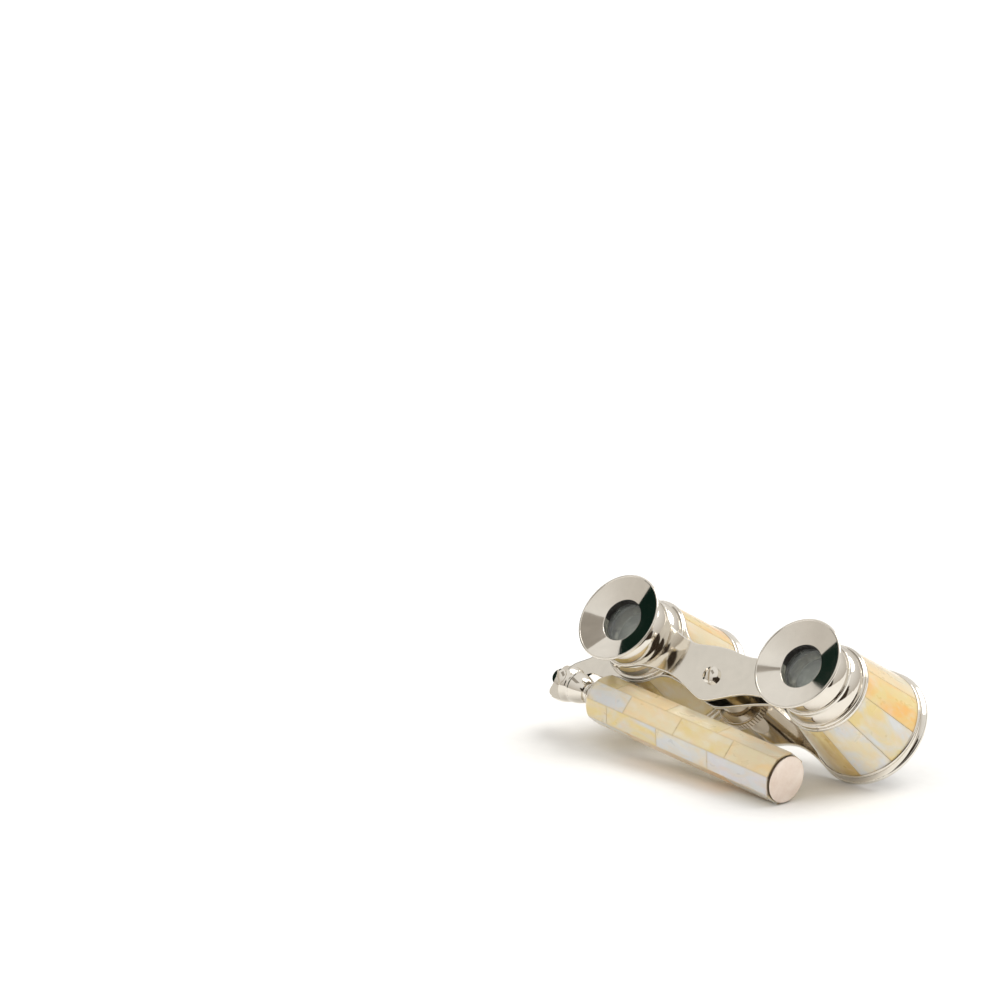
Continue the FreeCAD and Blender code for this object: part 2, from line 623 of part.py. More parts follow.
def handle_pearl_tiles():
    """Eight faces of pearl tiles in staggered courses, all in one node."""
    outer = octagonal_bar(OCTAGON_R, TILE_START, TILE_END, NOSE_R, NOSE_LENGTH)
    inner = octagonal_bar(OCTAGON_R - TILE_THICK, TILE_START - 0.01, TILE_END + CUT_PAST,
                          NOSE_R - TILE_THICK + TILE_NOSE_EASE, NOSE_LENGTH)
    shell = outer.cut(inner)
    tiles = []
    for face in range(FACES):
        cuts = tile_joints(face)
        for low, high in zip(cuts[:-1], cuts[1:]):
            tiles += shell.common(tile_wedge(face, low, high)).Solids
    return Part.makeCompound(tiles)


def handle_end_cap():
    """A disc with a rounded edge, and a plug in the bore of the core."""
    face = HANDLE_LENGTH
    edge = 0.25
    plug_r, plug_length = CAP_PLUG
    seat = TILE_END + SEAT_GAP
    inside = face - CAP_FACE
    return turned_along_handle((TILE_END - plug_length, COLLAR_BORE_R), (TILE_END - plug_length, plug_r),
                               (seat, plug_r), (seat, CAP_R), (face - edge, CAP_R),
                               ((face - 0.07, CAP_R - 0.07), (face, CAP_R - edge)), (face, 0),
                               (inside, 0), (inside, COLLAR_BORE_R))


def handle_tie_rod():
    end = HANDLE_LENGTH - CAP_FACE - 0.1
    return turned_along_handle((TIE_ROD_START, 0), (TIE_ROD_START, TIE_ROD_R), (end, TIE_ROD_R), (end, 0))


# --- putting it together --------------------------------------------------------------------
def lean(point):
    """Where a point of the glasses' frame comes to when they lean forward."""
    c = math.cos(math.radians(TILT))
    s = math.sin(math.radians(TILT))
    return (point[0], point[1] * c - point[2] * s, point[1] * s + point[2] * c)


def rim_floor():
    """Height of the floor: the lowest point of the rounded objective rims."""
    across = OBJECTIVE_RING_R - RIM_ROUND
    return lean((0, -across, OBJECTIVE_PLATE[0] + RIM_ROUND))[2] - RIM_ROUND


def handle_floor(swing):
    """Height of the lowest corner at the far end of the handle, folded at the angle swing."""
    heights = []
    for k in range(FACES):
        y, z = on_circle((0, 0), OCTAGON_R, FACE_STEP * (k + 0.5))
        x_here, y_here = to_glasses((TILE_END, y), swing)
        heights.append(lean((x_here, y_here, PIVOT[2] + z))[2])
    return min(heights)


def folded_angle():
    """The angle of the handle to the bridges at which its far end touches the floor."""
    low, high = SWING_LIMITS
    while high - low > 1e-9:
        middle = (low + high) / 2.0
        if handle_floor(middle) > rim_floor():
            low = middle
        else:
            high = middle
    return low


def build_pieces(swing):
    pieces = {
        "objective_bridge": objective_bridge(),
        "middle_bridge": middle_bridge(swing),
        "eyepiece_bridge": eyepiece_bridge(),
        "column_lower_tube": column_lower_tube(),
        "column_upper_tube": column_upper_tube(),
        "column_screw": column_screw(),
        "focus_wheel": focus_wheel(),
        "focus_spindle": focus_spindle(),
        "bridge_screw": bridge_screw(),
    }
    barrel_pieces = {
        "barrel_tube": barrel_tube(),
        "objective_end_ring": objective_end_ring(),
        "objective_cell": objective_cell(),
        "objective_lens": objective_lens(),
        "objective_retaining_ring": objective_retaining_ring(),
        "guide_collar": guide_collar(),
        "draw_tube": draw_tube(),
        "eyecup": eyecup(),
        "eye_lens": eye_lens(),
        "eye_lens_ring": eye_lens_ring(),
    }
    for side, x in SIDES.items():
        for name, shape in barrel_pieces.items():
            pieces[side + "_" + name] = moved(shape, x)
        first_angle = FIRST_STRIP_ANGLES[side]
        pieces[side + "_pearl_strips"] = moved(pearl_strips(first_angle), x)
    handle_pieces = {
        "handle_knuckle": handle_knuckle(),
        "handle_pivot_screw": handle_pivot_screw(),
        "handle_washers": handle_washers(),
        "handle_collar": handle_collar(),
        "handle_core": handle_core(),
        "handle_pearl_tiles": handle_pearl_tiles(),
        "handle_end_cap": handle_end_cap(),
        "handle_tie_rod": handle_tie_rod(),
    }
    for name, shape in handle_pieces.items():
        shape.rotate(Vector(0, 0, 0), Vector(0, 0, 1), -swing)
        pieces[name] = moved(shape, *PIVOT)
    return pieces


def main():
    os.makedirs("parts", exist_ok=True)
    swing = folded_angle()
    pieces = build_pieces(swing)
    box = FreeCAD.BoundBox()
    for shape in pieces.values():
        shape.rotate(Vector(0, 0, 0), Vector(1, 0, 0), TILT)
        box.add(shape.optimalBoundingBox(False))
    origin = Vector((box.XMin + box.XMax) / 2, (box.YMin + box.YMax) / 2, box.ZMin)
    for name, shape in pieces.items():
        shape.translate(-origin)
        shape.exportStep("parts/" + name + ".step")
    print("swing", round(swing, 4), "box", [round(v, 3) for v in (box.XLength, box.YLength, box.ZLength)])
    print("origin shift", [round(v, 4) for v in origin])
    print("hinge", [round(v, 4) for v in Vector(*lean(PIVOT)) - origin])
    print("column", [round(v, 4) for v in Vector(*lean((0, COLUMN_Y, WHEEL[0]))) - origin])
    print("optical axis", [round(v, 6) for v in lean((0, 0, 1))])


main()
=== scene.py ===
import json
import math
import random

import bpy
import bmesh
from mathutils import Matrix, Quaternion, Vector


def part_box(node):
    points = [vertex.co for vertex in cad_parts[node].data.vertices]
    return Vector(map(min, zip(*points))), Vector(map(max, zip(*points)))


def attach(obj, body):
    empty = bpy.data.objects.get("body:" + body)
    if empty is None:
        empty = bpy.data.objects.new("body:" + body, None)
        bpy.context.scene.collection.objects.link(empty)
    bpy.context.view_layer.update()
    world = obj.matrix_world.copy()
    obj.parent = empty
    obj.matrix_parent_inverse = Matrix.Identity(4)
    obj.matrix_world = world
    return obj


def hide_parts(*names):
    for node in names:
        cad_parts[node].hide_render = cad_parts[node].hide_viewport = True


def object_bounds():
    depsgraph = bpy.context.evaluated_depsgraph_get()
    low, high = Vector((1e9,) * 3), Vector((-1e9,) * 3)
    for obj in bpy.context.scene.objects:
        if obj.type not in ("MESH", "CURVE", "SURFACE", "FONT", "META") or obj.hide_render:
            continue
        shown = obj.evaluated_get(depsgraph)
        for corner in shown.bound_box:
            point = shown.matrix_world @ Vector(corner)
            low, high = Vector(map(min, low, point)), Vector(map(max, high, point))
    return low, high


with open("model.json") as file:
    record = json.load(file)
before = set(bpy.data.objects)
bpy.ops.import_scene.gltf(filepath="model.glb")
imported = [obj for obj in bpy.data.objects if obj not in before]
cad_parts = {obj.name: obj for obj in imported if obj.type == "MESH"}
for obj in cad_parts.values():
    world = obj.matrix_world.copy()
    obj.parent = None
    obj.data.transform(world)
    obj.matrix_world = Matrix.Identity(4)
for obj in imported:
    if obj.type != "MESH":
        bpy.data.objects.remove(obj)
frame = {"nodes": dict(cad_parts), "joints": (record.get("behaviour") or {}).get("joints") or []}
cad_box = [list(corner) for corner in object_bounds()]
nodes = frame["nodes"]
joints = {joint["name"]: joint for joint in frame["joints"]}
MM = 0.001

# --- the glasses' own axes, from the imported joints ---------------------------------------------
# across runs along the bridges, upward lies in their plane, optical points towards the eyes
across = Vector((1, 0, 0))
optical = Vector(joints["focus_slide"]["axis"]).normalized()
upward = optical.cross(across).normalized()

# the colour sockets of Blender's Mix node
MIX_FACTOR, MIX_A, MIX_B, MIX_RESULT = 0, 6, 7, 2


# --- node helpers ------------------------------------------------------------------------------
class Nodes:
    """Short calls that build one material's node tree."""

    def __init__(self, name):
        self.material = bpy.data.materials.new(name)
        self.material.use_nodes = True
        self.tree = self.material.node_tree
        self.tree.nodes.clear()
        output = self.tree.nodes.new("ShaderNodeOutputMaterial")
        self.shader = self.tree.nodes.new("ShaderNodeBsdfPrincipled")
        self.link(self.shader.outputs["BSDF"], output.inputs["Surface"])

    def link(self, outlet, inlet):
        self.tree.links.new(outlet, inlet)

    def put(self, value, inlet):
        """Links another node's outlet, or sets a plain number or colour on the socket itself."""
        if isinstance(value, bpy.types.NodeSocket):
            self.link(value, inlet)
        elif hasattr(value, "__len__") and len(value) == 3 and len(inlet.default_value) == 4:
            inlet.default_value = (*value, 1.0)
        else:
            inlet.default_value = value

    def set(self, **values):
        """Puts values on the Principled shader. An underscore stands for a space."""
        for name, value in values.items():
            self.put(value, self.shader.inputs[name.replace("_", " ")])

    def place(self):
        return self.tree.nodes.new("ShaderNodeTexCoord").outputs["Object"]

    def attribute(self, name, outlet):
        made = self.tree.nodes.new("ShaderNodeAttribute")
        made.attribute_name = name
        return made.outputs[outlet]

    def facing(self, blend):
        """0 where the surface faces the line of sight, and 1 where it turns away."""
        made = self.tree.nodes.new("ShaderNodeLayerWeight")
        made.inputs["Blend"].default_value = blend
        return made.outputs["Facing"]

    def noise(self, vector, scale, detail, roughness, distortion=0.0):
        made = self.tree.nodes.new("ShaderNodeTexNoise")
        self.link(vector, made.inputs["Vector"])
        made.inputs["Scale"].default_value = scale
        made.inputs["Detail"].default_value = detail
        made.inputs["Roughness"].default_value = roughness
        made.inputs["Distortion"].default_value = distortion
        return made.outputs["Fac"]

    def ramp(self, fac, *stops):
        """Turns a factor into colours or grey levels. Each stop is (place, colour or level)."""
        made = self.tree.nodes.new("ShaderNodeValToRGB")
        while len(made.color_ramp.elements) < len(stops):
            made.color_ramp.elements.new(0.5)
        for element, (position, colour) in zip(made.color_ramp.elements, stops):
            element.position = position
            element.color = (*colour, 1.0) if hasattr(colour, "__len__") else (colour,) * 3 + (1.0,)
        self.link(fac, made.inputs["Fac"])
        return made.outputs["Color"]

    def mix(self, fac, a, b):
        made = self.tree.nodes.new("ShaderNodeMix")
        made.data_type = "RGBA"
        self.put(fac, made.inputs[MIX_FACTOR])
        self.put(a, made.inputs[MIX_A])
        self.put(b, made.inputs[MIX_B])
        return made.outputs[MIX_RESULT]

    def scaled(self, vector, factors):
        made = self.tree.nodes.new("ShaderNodeMapping")
        made.inputs["Scale"].default_value = factors
        self.link(vector, made.inputs["Vector"])
        return made.outputs["Vector"]

    def bump(self, height, strength, distance):
        made = self.tree.nodes.new("ShaderNodeBump")
        made.inputs["Strength"].default_value = strength
        made.inputs["Distance"].default_value = distance
        self.link(height, made.inputs["Height"])
        self.link(made.outputs["Normal"], self.shader.inputs["Normal"])


# --- materials ---------------------------------------------------------------------------------
def nickel(name, colour, roughness, smudge):
    """Plated metal: a bright mirror with faint wiping marks, hairlines and cloudy patches."""
    n = Nodes(name)
    place = n.place()
    clouds = n.noise(place, scale=160, detail=3, roughness=0.6, distortion=0.6)
    hairlines = n.noise(n.scaled(place, (40, 900, 900)), scale=6, detail=5, roughness=0.7)
    pits = n.noise(place, scale=2600, detail=2, roughness=0.5)
    cloudy = n.ramp(clouds, (0.35, roughness), (0.75, roughness + smudge))
    wiped = n.ramp(hairlines, (0.4, roughness), (0.8, roughness + smudge * 1.4))
    shaded = [c * 0.93 for c in colour]
    n.set(Base_Color=n.ramp(clouds, (0.3, shaded), (0.7, colour)), Metallic=1.0,
          Roughness=n.mix(0.35, cloudy, wiped))
    n.bump(n.mix(0.5, hairlines, pits), strength=0.035, distance=0.008 * MM)
    return n.material


def satin_cap(name):
    """The end cap's face: warm, softly brushed and a little blotched."""
    n = Nodes(name)
    place = n.place()
    grain = n.noise(n.scaled(place, (1, 1, 7)), scale=900, detail=4, roughness=0.7)
    blotch = n.noise(place, scale=260, detail=5, roughness=0.65, distortion=0.4)
    n.set(Base_Color=n.ramp(blotch, (0.3, (0.78, 0.66, 0.58)), (0.7, (0.88, 0.79, 0.72))),
          Metallic=1.0, Roughness=n.ramp(grain, (0.3, 0.3), (0.75, 0.48)))
    n.bump(grain, strength=0.25, distance=0.03 * MM)
    return n.material


def turned_metal(name, dark, light, metallic, roughness):
    """Bare or blackened metal: patches between two tones, with marks of the turning."""
    n = Nodes(name)
    place = n.place()
    patches = n.noise(place, scale=220, detail=5, roughness=0.6, distortion=0.3)
    turning = n.noise(n.scaled(place, (30, 30, 1200)), scale=5, detail=4, roughness=0.6)
    n.set(Base_Color=n.ramp(patches, (0.3, dark), (0.72, light)), Metallic=metallic,
          Roughness=n.ramp(turning, (0.3, roughness), (0.8, roughness + 0.14)))
    n.bump(turning, strength=0.15, distance=0.02 * MM)
    return n.material


def lens_glass(name):
    """Old crown glass: nearly clear, faintly green, with a little dust."""
    n = Nodes(name)
    dust = n.noise(n.place(), scale=1500, detail=3, roughness=0.6)
    n.set(Base_Color=n.ramp(dust, (0.4, (0.90, 0.95, 0.92)), (0.8, (0.84, 0.90, 0.86))), IOR=1.52,
          Transmission_Weight=0.92, Roughness=n.ramp(dust, (0.55, 0.02), (0.8, 0.12)))
    return n.material


def mother_of_pearl(name):
    """Polished shell: soft clouds between two tints of each piece, silver wisps, rosy and brownish
    streaks, a painted sheen that turns with the angle of sight, worn edges and a clear polish."""
    silver, rose, brown = (0.80, 0.80, 0.78), (0.82, 0.58, 0.40), (0.78, 0.58, 0.28)
    sheen_tint, dirt, clean = (0.70, 0.75, 0.80), (0.55, 0.42, 0.22), (0.0, 0.0, 0.0)
    n = Nodes(name)
    tint = n.attribute("shell_tint", "Color")
    second = n.attribute("shell_second", "Color")
    grain = n.attribute("shell_grain", "Vector")
    rim = n.attribute("shell_rim", "Fac")
    drawn_out = n.scaled(grain, (0.55, 1.0, 1.0))
    clouds = n.noise(drawn_out, scale=130, detail=3, roughness=0.5, distortion=0.9)
    wisps = n.noise(drawn_out, scale=330, detail=3, roughness=0.5, distortion=0.5)
    streaks = n.noise(n.scaled(grain, (0.30, 1.0, 1.0)), scale=420, detail=2, roughness=0.5,
                      distortion=0.8)
    blushes = n.noise(grain, scale=240, detail=2, roughness=0.5, distortion=1.0)
    nicks = n.noise(grain, scale=700, detail=1, roughness=0.5)
    shell = n.mix(n.ramp(clouds, (0.40, 0.0), (0.60, 1.0)), tint, second)
    shell = n.mix(n.ramp(wisps, (0.52, 0.0), (0.74, 0.38)), shell, silver)
    shell = n.mix(n.ramp(blushes, (0.54, 0.0), (0.74, 0.3)), shell, rose)
    shell = n.mix(n.ramp(streaks, (0.30, 0.34), (0.52, 0.0)), shell, brown)
    # painted sheen: a pale blue-grey mixed into the colour as the surface turns away from the line of
    # sight
    painted_sheen = n.ramp(n.facing(0.42), (0.0, 0.0), (0.55, 0.10), (1.0, 0.32))
    shell = n.mix(painted_sheen, shell, sheen_tint)
    chipped = n.ramp(nicks, (0.66, 0.0), (0.70, 1.0))
    shell = n.mix(n.mix(chipped, n.mix(0.5, clean, rim), rim), shell, dirt)
    n.set(Base_Color=shell, Roughness=n.ramp(wisps, (0.3, 0.26), (0.8, 0.40)), IOR=1.56,
          Subsurface_Weight=0.15, Subsurface_Radius=(2.0 * MM, 1.4 * MM, 0.8 * MM),
          Coat_Weight=0.5, Coat_Roughness=0.08)
    n.bump(wisps, strength=0.10, distance=0.08 * MM)
    return n.material


POLISHED = nickel("polished_nickel", (0.80, 0.755, 0.68), roughness=0.05, smudge=0.05)
PLATE = nickel("plate_nickel", (0.82, 0.785, 0.72), roughness=0.07, smudge=0.06)
# painted reflection: the focus wheel and column tubes get a darker, browner nickel that stands in for
# the dark brown they reflect between the barrels
WHEEL = nickel("dark_reflection_nickel", (0.60, 0.53, 0.43), roughness=0.09, smudge=0.08)
CAP = satin_cap("satin_nickel_cap")
BRASS = turned_metal("turned_brass", (0.52, 0.38, 0.16), (0.78, 0.62, 0.32),
                     metallic=1.0, roughness=0.25)
BLACKENED = turned_metal("blackened_brass", (0.012, 0.012, 0.012), (0.05, 0.045, 0.04),
                         metallic=0.2, roughness=0.5)
LINING = turned_metal("tube_lining", (0.16, 0.16, 0.145), (0.36, 0.35, 0.31),
                      metallic=0.7, roughness=0.32)
SEAM = turned_metal("tarnished_seam", (0.05, 0.035, 0.02), (0.16, 0.11, 0.06),
                    metallic=0.6, roughness=0.5)
GLASS = lens_glass("lens_glass")
PEARL = mother_of_pearl("mother_of_pearl")


def finish_of(node):
    if node.endswith("_lens"):
        return GLASS
    if node == "handle_end_cap":
        return CAP
    if node.endswith("_bridge"):
        return PLATE
    if node in ("focus_wheel", "column_lower_tube", "column_upper_tube"):
        return WHEEL
    if node.endswith("barrel_tube"):
        return LINING
    if node.endswith(("_cell", "_retaining_ring", "_lens_ring")):
        return BLACKENED
    if node.endswith(("handle_core", "tie_rod", "spindle")):
        return BRASS
    return POLISHED


for node_name, cad_object in nodes.items():
    cad_object.data.materials.clear()
    cad_object.data.materials.append(finish_of(node_name))


def second_finish(node, material, chosen):
    """Gives the faces of a node for which chosen(face) is true another material."""
    mesh = nodes[node].data
    mesh.materials.append(material)
    for face in mesh.polygons:
        if chosen(face):
            face.material_index = 1


def within(node, radius):
    """A test for the faces of a turned node that lie inside a radius, such as its bore."""
    low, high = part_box(node)
    middle = (Vector(low) + Vector(high)) / 2

    def test(face):
        away = Vector(face.center) - middle
        return (away - optical * away.dot(optical)).length < radius

    return test


CUP_BORE_R = 5.92 * MM
DRAW_TUBE_WALL_R = 8.6 * MM
for side in ("left", "right"):
    second_finish(side + "_eyecup", BLACKENED, within(side + "_eyecup", CUP_BORE_R))
    second_finish(side + "_draw_tube", LINING, within(side + "_draw_tube", DRAW_TUBE_WALL_R))


# --- the grip's own axes: it runs from the hinge along grip, and beside lies across it -----------
pivot = Vector(joints["handle_fold"]["pos_m"])
rod_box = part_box("handle_tie_rod")
grip = (rod_box[0] + rod_box[1]) / 2 - pivot
grip = (grip - optical * grip.dot(optical)).normalized()
beside = optical.cross(grip)
CAP_SIDE_TURN = 0.4  # a face whose normal runs less than this along the grip is on the cap's side


def on_cap_side(face):
    return abs(Vector(face.normal).dot(grip)) < CAP_SIDE_TURN


second_finish("handle_end_cap", SEAM, on_cap_side)

# --- mother-of-pearl pieces --------------------------------------------------------------------
SILVER = (0.66, 0.67, 0.67)
LILAC = (0.68, 0.65, 0.70)
CREAM = (0.78, 0.67, 0.43)
LEMON = (0.78, 0.62, 0.25)
HONEY = (0.88, 0.47, 0.08)
PEACH = (0.84, 0.62, 0.31)
# a deep yellow shell tint, darkened as painted shade for the strips that lie in shade
SHADED_AMBER = (0.56, 0.36, 0.07)
PAIRS = [(SILVER, CREAM), (CREAM, LEMON), (CREAM, SILVER),
         (HONEY, PEACH), (LEMON, CREAM), (PEACH, SILVER)]
# strips are numbered round each barrel from its -across side, by way of the underside. The front
# shows those that are named here, and the others draw a pair
STRIPS = 10
# the pairs with the darkest yellow paint shade onto strips that lie in shade, such as those below the
# middle bridge
LEFT_TINTS = {1: (SHADED_AMBER, LEMON), 2: (LEMON, SHADED_AMBER), 4: (CREAM, SILVER), 5: (PEACH, CREAM),
              6: (HONEY, LEMON)}
RIGHT_TINTS = {2: (SHADED_AMBER, LEMON), 3: (CREAM, SILVER), 4: (SILVER, LEMON), 5: (HONEY, LEMON),
               6: (CREAM, PEACH)}
# tiles are named by their face of the grip and their course from the hinge
TILE_TINTS = {
    (1, 0): (LEMON, CREAM), (1, 1): (CREAM, PEACH), (1, 2): (LEMON, CREAM), (1, 3): (CREAM, PEACH),
    (2, 0): (SILVER, CREAM), (2, 1): (PEACH, CREAM), (2, 2): (CREAM, LEMON), (2, 3): (PEACH, CREAM),
    (3, 0): (LEMON, SILVER), (3, 1): (SILVER, LEMON), (3, 2): (CREAM, SILVER), (3, 3): (SILVER, LILAC),
}
EDGE = 0.07 * MM  # radius of the slabs' rounded edges
THICK = 1.0 * MM
RIM = 0.13 * MM  # how far the worn edge reaches in
GRAIN_SHIFT = (0.031, 0.017, 0.013)  # moves each piece to its own part of the shell's figure
LONG_STEP, CROSS_STEP = 0.5 * MM, 0.4 * MM
LEAST_LONG, LEAST_CROSS = 6, 5  # the fewest mesh steps along a piece and across it
WELD = 0.001 * MM
END_BAND = 0.01 * MM  # points this near a strip's end give its radius there
STRIP_SEED, TILE_SEED = 3, 40
FACES = 8
FACE_TURN = math.radians(45)
CORNER_R = 6.93 * MM
APOTHEM = CORNER_R * math.cos(FACE_TURN / 2)
HALF_TILE = CORNER_R * math.sin(FACE_TURN / 2) - 0.03 * MM
NOSE_R = 3.55 * MM  # the grip's radius at its start
NOSE_FULL = 7.5 * MM  # past the corners, so that the nose runs out into the flat faces
NOSE_LENGTH = 5.6 * MM
shades = random.Random(7)


def islands(node):
    """The separate solids of a CAD node, each as a list of points."""
    grown = bmesh.new()
    grown.from_mesh(nodes[node].data)
    bmesh.ops.remove_doubles(grown, verts=grown.verts, dist=WELD)
    unseen = set(grown.verts)
    found = []
    while unseen:
        heap = [unseen.pop()]
        members = []
        while heap:
            vert = heap.pop()
            members.append(vert.co.copy())
            for edge in vert.link_edges:
                other = edge.other_vert(vert)
                if other in unseen:
                    unseen.remove(other)
                    heap.append(other)
        found.append(members)
    grown.free()
    return found


def stations(length, count):
    """Places from 0 to length, close together near both ends, where the edge is rounded."""
    near = [EDGE * (1 - math.cos(math.radians(a))) for a in (0, 30, 60, 90)]
    inner = [EDGE + (length - 2 * EDGE) * k / count for k in range(1, count)]
    return near + inner + [length - d for d in reversed(near)]


def pearl_piece(name, body, surface, size, tints, seed):
    """A closed slab of shell. surface(u, v, depth) gives its points; size is (along, across)."""
    along = stations(size[0], max(LEAST_LONG, int(size[0] / LONG_STEP)))
    wide = stations(size[1], max(LEAST_CROSS, int(size[1] / CROSS_STEP)))
    mesh = bmesh.new()
    grain = mesh.verts.layers.float_vector.new("shell_grain")
    rim = mesh.verts.layers.float.new("shell_rim")
    first = mesh.verts.layers.float_vector.new("shell_tint")
    other = mesh.verts.layers.float_vector.new("shell_second")

    def vert(u, v, depth):
        made = mesh.verts.new(surface(u, v, depth))
        made[grain] = (u + seed * GRAIN_SHIFT[0], v + seed * GRAIN_SHIFT[1], seed * GRAIN_SHIFT[2])
        gap = min(u, size[0] - u, v, size[1] - v)
        made[rim] = max(0.0, 1.0 - gap / RIM)
        made[first] = tints[0]
        made[other] = tints[1]
        return made

    def rounding(u, v):
        near_u = max(0.0, EDGE - min(u, size[0] - u))
        near_v = max(0.0, EDGE - min(v, size[1] - v))
        return EDGE - math.sqrt(max(0.0, EDGE ** 2 - near_u ** 2 - near_v ** 2))

    top = [[vert(u, v, rounding(u, v)) for v in wide] for u in along]
    base = [[vert(u, v, THICK) for v in wide] for u in along]
    rows, columns = len(along), len(wide)
    for i in range(rows - 1):
        for j in range(columns - 1):
            mesh.faces.new((top[i][j], top[i + 1][j], top[i + 1][j + 1], top[i][j + 1]))
            mesh.faces.new((base[i][j], base[i][j + 1], base[i + 1][j + 1], base[i + 1][j]))
    for i in range(rows - 1):
        mesh.faces.new((top[i + 1][0], top[i][0], base[i][0], base[i + 1][0]))
        mesh.faces.new((top[i][-1], top[i + 1][-1], base[i + 1][-1], base[i][-1]))
    for j in range(columns - 1):
        mesh.faces.new((top[0][j], top[0][j + 1], base[0][j + 1], base[0][j]))
        mesh.faces.new((top[-1][j + 1], top[-1][j], base[-1][j], base[-1][j + 1]))
    bmesh.ops.recalc_face_normals(mesh, faces=mesh.faces)
    for face in mesh.faces:
        face.smooth = True
    data = bpy.data.meshes.new(name)
    mesh.to_mesh(data)
    mesh.free()
    data.materials.append(PEARL)
    piece = bpy.data.objects.new(name, data)
    bpy.context.scene.collection.objects.link(piece)
    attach(piece, body)


def clad_barrel(side, tints):
    """Lengthwise strips on the cone of one barrel, each from its CAD solid's own outline."""
    node = side + "_pearl_strips"
    lens_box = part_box(side + "_objective_lens")
    centre = (lens_box[0] + lens_box[1]) / 2
    strips = []
    for points in islands(node):
        middle = sum(points, Vector()) / len(points) - centre
        heading = math.atan2(middle.dot(upward), middle.dot(across))
        turns = []
        reach = []
        for point in points:
            height = (point - centre).dot(optical)
            spoke = (point - centre) - optical * height
            turn = math.atan2(spoke.dot(upward), spoke.dot(across)) - heading
            turns.append((turn + math.pi) % (2 * math.pi) - math.pi)
            reach.append((height, spoke.length))
        low, high = min(reach)[0], max(reach)[0]
        wide_end = max(radius for height, radius in reach if height < low + END_BAND)
        narrow_end = max(radius for height, radius in reach if height > high - END_BAND)
        strips.append((heading, min(turns), max(turns), low, high, wide_end, narrow_end))
    strips.sort()
    for number, (heading, first_turn, last_turn, low, high, wide_end, narrow_end) in enumerate(strips):
        arc = (last_turn - first_turn) * (wide_end + narrow_end) / 2
        length = high - low

        def surface(u, v, depth):
            radius = wide_end + (narrow_end - wide_end) * (u / length)
            turn = heading + first_turn + (last_turn - first_turn) * v / arc
            out = across * math.cos(turn) + upward * math.sin(turn)
            return centre + optical * (low + u) + out * (radius - depth)

        pearl_piece(f"{side}_pearl_{number}", "frame", surface, (length, arc), tints[number],
                    STRIP_SEED + number)
    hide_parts(node)


def clad_handle(pair_of):
    """Tiles on the eight faces of the grip, in the courses of the CAD solids."""
    tiles = []
    for points in islands("handle_pearl_tiles"):
        middle = sum(points, Vector()) / len(points) - pivot
        angle = math.atan2(middle.dot(optical), middle.dot(beside))
        ends = [(point - pivot).dot(grip) for point in points]
        tiles.append((round(angle / FACE_TURN) % FACES, min(ends), max(ends)))
    tiles.sort()
    nose_start = min(low for face, low, high in tiles)
    for number, (face, low, high) in enumerate(tiles):
        normal = beside * math.cos(FACE_TURN * face) + optical * math.sin(FACE_TURN * face)
        sideways = grip.cross(normal)

        def surface(u, v, depth):
            y = v - HALF_TILE
            s = low + u
            t = min(1.0, (s - nose_start) / NOSE_LENGTH)
            nose = NOSE_R + (NOSE_FULL - NOSE_R) * math.sin(t * math.pi / 2)
            shrink = min(1.0, nose / math.hypot(APOTHEM, y))
            return pivot + grip * s + normal * (APOTHEM * shrink - depth) + sideways * (y * shrink)

        course = [tile for tile in tiles if tile[0] == face].index((face, low, high))
        pearl_piece(f"handle_pearl_{face}_{course}", "handle", surface, (high - low, 2 * HALF_TILE),
                    pair_of(face, course), TILE_SEED + number)
    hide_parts("handle_pearl_tiles")


def strip_pairs(chosen):
    return [chosen.get(number) or shades.choice(PAIRS) for number in range(STRIPS)]


def tile_pair(face, course):
    return TILE_TINTS.get((face, course)) or shades.choice(PAIRS)


clad_barrel("left", strip_pairs(LEFT_TINTS))
clad_barrel("right", strip_pairs(RIGHT_TINTS))
clad_handle(tile_pair)


# --- floor, light and camera -------------------------------------------------------------------
FLOOR_REACH = 6.0


def light_floor():
    data = bpy.data.meshes.new("floor")
    corners = [(x * FLOOR_REACH, y * FLOOR_REACH, cad_box[0][2])
               for x, y in ((-1, -1), (1, -1), (1, 1), (-1, 1))]
    data.from_pydata(corners, [], [(0, 1, 2, 3)])
    floor = bpy.data.objects.new("floor", data)
    bpy.context.scene.collection.objects.link(floor)
    n = Nodes("floor_paper")
    fibres = n.noise(n.place(), scale=300, detail=4, roughness=0.6)
    n.set(Base_Color=n.ramp(fibres, (0.3, (0.93, 0.93, 0.925)), (0.7, (0.96, 0.96, 0.955))),
          Roughness=0.9)
    data.materials.append(n.material)


def sun(name, towards_light, strength, softness, colour):
    data = bpy.data.lights.new(name, "SUN")
    data.energy = strength
    data.angle = math.radians(softness)
    data.color = colour
    lamp = bpy.data.objects.new(name, data)
    lamp.rotation_euler = Vector(towards_light).to_track_quat("Z", "Y").to_euler()
    bpy.context.scene.collection.objects.link(lamp)


def card(name, corners, colour):
    """A studio card out of the picture. It shows only in what the metal reflects."""
    data = bpy.data.meshes.new(name)
    data.from_pydata(corners, [], [tuple(range(len(corners)))])
    flag = bpy.data.objects.new(name, data)
    bpy.context.scene.collection.objects.link(flag)
    n = Nodes(name + "_cloth")
    weave = n.noise(n.place(), scale=9, detail=3, roughness=0.5)
    n.set(Base_Color=(0.0, 0.0, 0.0), Roughness=1.0, Specular_IOR_Level=0.0, Emission_Strength=1.0,
          Emission_Color=n.ramp(weave, (0.3, [c * 0.85 for c in colour]), (0.7, colour)))
    data.materials.append(n.material)
    flag.visible_camera = False
    flag.visible_shadow = False
    flag.visible_diffuse = False
    flag.visible_transmission = False


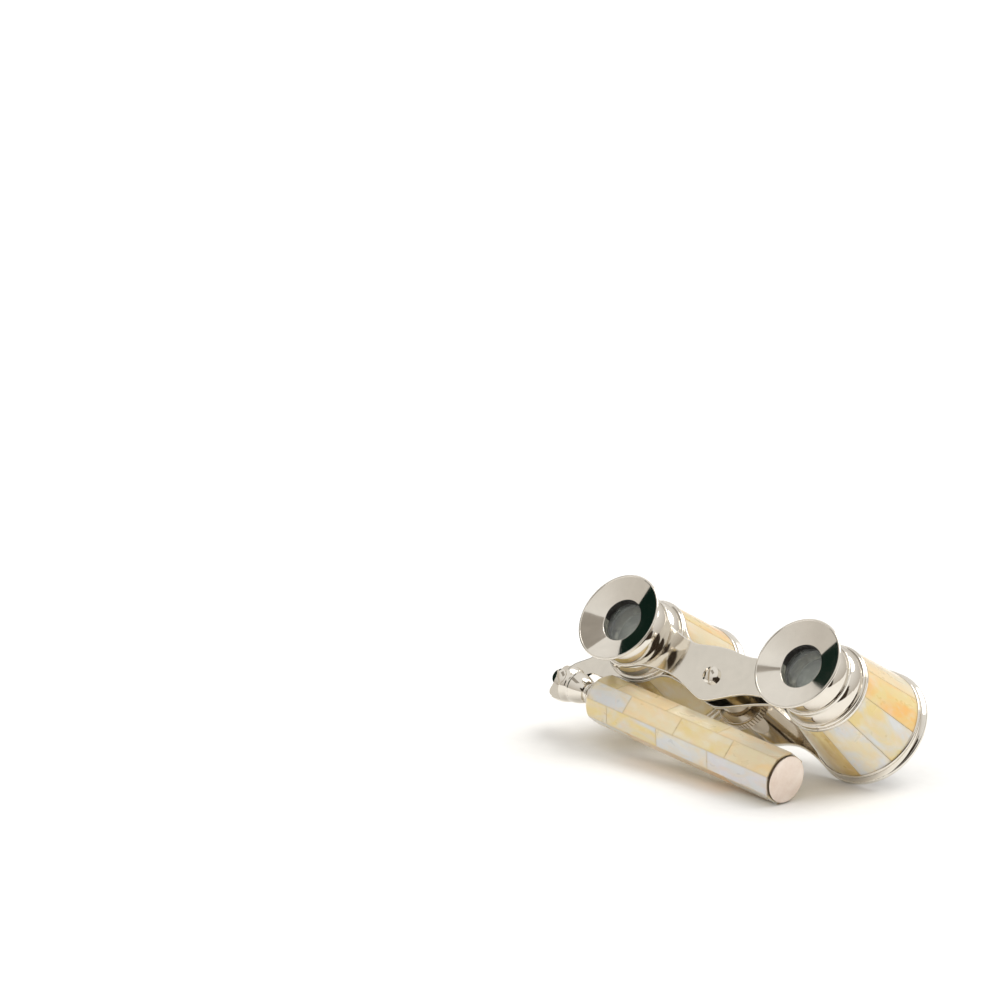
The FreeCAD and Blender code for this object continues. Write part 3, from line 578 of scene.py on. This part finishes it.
def facing_card(name, azimuth, elevation, distance, width, height, colour):
    """A card that faces the object from a direction. Azimuth is counted from +Y towards +X."""
    turn, lift = math.radians(azimuth), math.radians(elevation)
    away = Vector((math.sin(turn) * math.cos(lift), math.cos(turn) * math.cos(lift), math.sin(lift)))
    right = Vector((math.cos(turn), -math.sin(turn), 0))
    up = right.cross(away)
    corners = [away * distance + right * x * width / 2 + up * y * height / 2
               for x, y in ((-1, -1), (1, -1), (1, 1), (-1, 1))]
    card(name, [tuple(c) for c in corners], colour)


def sky(strength, low_colour, high_colour):
    """A studio room: white overhead, greyer to the sides. The camera sees plain white."""
    world = bpy.data.worlds.new("studio")
    bpy.context.scene.world = world
    world.use_nodes = True
    tree = world.node_tree
    room = tree.nodes["Background"]
    room.inputs["Strength"].default_value = strength
    place = tree.nodes.new("ShaderNodeTexCoord")
    split = tree.nodes.new("ShaderNodeSeparateXYZ")
    shade = tree.nodes.new("ShaderNodeValToRGB")
    low, high = shade.color_ramp.elements
    low.position, low.color = 0.05, (*low_colour, 1.0)
    high.position, high.color = 0.75, (*high_colour, 1.0)
    tree.links.new(place.outputs["Generated"], split.inputs[0])
    tree.links.new(split.outputs["Z"], shade.inputs["Fac"])
    tree.links.new(shade.outputs["Color"], room.inputs["Color"])
    white = tree.nodes.new("ShaderNodeBackground")
    white.inputs["Color"].default_value = (1.0, 1.0, 1.0, 1.0)
    rays = tree.nodes.new("ShaderNodeLightPath")
    either = tree.nodes.new("ShaderNodeMixShader")
    tree.links.new(rays.outputs["Is Camera Ray"], either.inputs[0])
    tree.links.new(room.outputs[0], either.inputs[1])
    tree.links.new(white.outputs[0], either.inputs[2])
    tree.links.new(either.outputs[0], tree.nodes["World Output"].inputs["Surface"])


def aimed_camera(location, heading, fall, roll, lens):
    """The photograph's view. Heading is counted from +Y towards +X, and angles are in degrees."""
    data = bpy.data.cameras.new("camera")
    data.lens = lens
    data.sensor_width = 36
    data.clip_start = 0.01
    data.clip_end = 50
    camera = bpy.data.objects.new("camera", data)
    camera.location = location
    camera.rotation_mode = "QUATERNION"
    turn, dip = math.radians(heading), math.radians(fall)
    view = Vector((math.sin(turn) * math.cos(dip), math.cos(turn) * math.cos(dip), math.sin(dip)))
    spin = Quaternion((0, 0, 1), math.radians(roll))
    camera.rotation_quaternion = view.to_track_quat("-Z", "Y") @ spin
    bpy.context.scene.collection.objects.link(camera)
    bpy.context.scene.camera = camera


light_floor()
sky(strength=0.92, low_colour=(0.66, 0.62, 0.57), high_colour=(1.0, 0.985, 0.96))
sun("window", towards_light=(0.25, 0.45, 1.0), strength=1.35, softness=42,
    colour=(1.0, 0.985, 0.96))
# an upright card on the left. The eyecups' dark sectors are its reflection
SCREEN_X = -0.194
SCREEN_OUTLINE = ((-0.108, 0.0), (0.10, 0.0), (0.10, 0.21), (-0.035, 0.126), (-0.108, 0.109))
card("green_screen", [(SCREEN_X, y, z) for y, z in SCREEN_OUTLINE], (0.006, 0.018, 0.013))
facing_card("ceiling_gap", azimuth=-140, elevation=58, distance=1.1, width=0.66, height=0.30,
            colour=(0.42, 0.39, 0.35))
facing_card("soft_side", azimuth=-126, elevation=36, distance=1.3, width=0.60, height=0.30,
            colour=(0.86, 0.83, 0.78))
facing_card("dark_room", azimuth=135, elevation=15, distance=0.90, width=1.30, height=0.70,
            colour=(0.050, 0.036, 0.026))
aimed_camera(location=(0.5602, -0.64445, 0.25936), heading=-45.096, fall=-12.581, roll=0.759,
             lens=120.6)
bpy.context.scene.view_settings.view_transform = "Standard"
